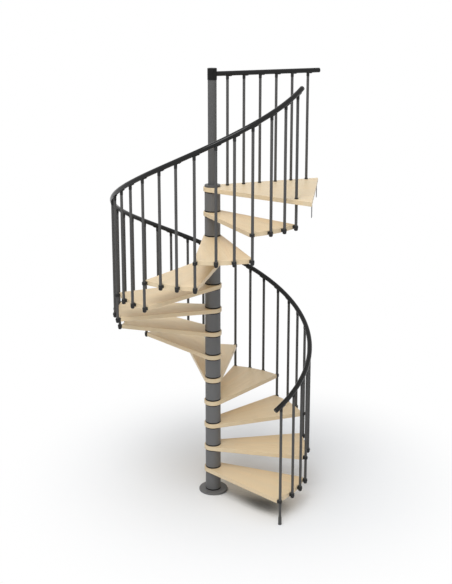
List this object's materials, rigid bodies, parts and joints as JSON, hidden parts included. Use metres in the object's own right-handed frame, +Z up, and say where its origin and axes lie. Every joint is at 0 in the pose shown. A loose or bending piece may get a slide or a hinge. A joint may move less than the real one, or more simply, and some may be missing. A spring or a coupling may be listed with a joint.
{
  "type": "spiral staircase",
  "caption": "Spiral staircase: wooden wedge treads and spacer tubes on a centre pole, a triangular landing, thin balusters and a helical handrail.",
  "frame": {"origin": "centre of the base plate's underside, on the pole's axis", "axes": "+Z up along the pole, +X towards the landing, the view from -Y as in the picture"},
  "size_m": [1.8542, 1.7872, 3.9045],
  "materials": {
    "column_grey": "satin dark grey powder coat",
    "baluster_grey": "satin dark grey powder coat",
    "black_fittings": "moulded matt black",
    "rail_black": "smooth satin black",
    "beech": "clear satin lacquer on light beech",
    "bracket_steel": "satin grey"
  },
  "bodies": {
    "root": {"base_plate": "column_grey", "centre_pole": "column_grey", "spacer_tubes": "column_grey", "landing_collar": "column_grey", "spacer_discs": "black_fittings", "pole_cap": "black_fittings", "rail_end_plugs": "black_fittings", "landing_baluster_rings": "black_fittings", "front_corner_clamps": "black_fittings", "middle_clamps": "black_fittings", "rear_corner_clamps": "black_fittings", "baluster_end_caps": "black_fittings", "rail_brackets": "black_fittings", "tread_01": "beech", "tread_02": "beech", "tread_03": "beech", "tread_04": "beech", "tread_05": "beech", "tread_06": "beech", "tread_07": "beech", "tread_08": "beech", "tread_09": "beech", "tread_10": "beech", "tread_11": "beech", "tread_12": "beech", "landing": "beech", "handrail": "rail_black", "landing_rail": "rail_black", "first_baluster": "baluster_grey", "first_baluster_foot": "baluster_grey", "balusters_01": "baluster_grey", "balusters_02": "baluster_grey", "balusters_03": "baluster_grey", "balusters_04": "baluster_grey", "balusters_05": "baluster_grey", "balusters_06": "baluster_grey", "balusters_07": "baluster_grey", "balusters_08": "baluster_grey", "balusters_09": "baluster_grey", "balusters_10": "baluster_grey", "balusters_11": "baluster_grey", "balusters_12": "baluster_grey", "landing_balusters": "baluster_grey", "landing_bracket_front": "bracket_steel", "landing_bracket_rear": "bracket_steel"}
  },
  "joints": []
}
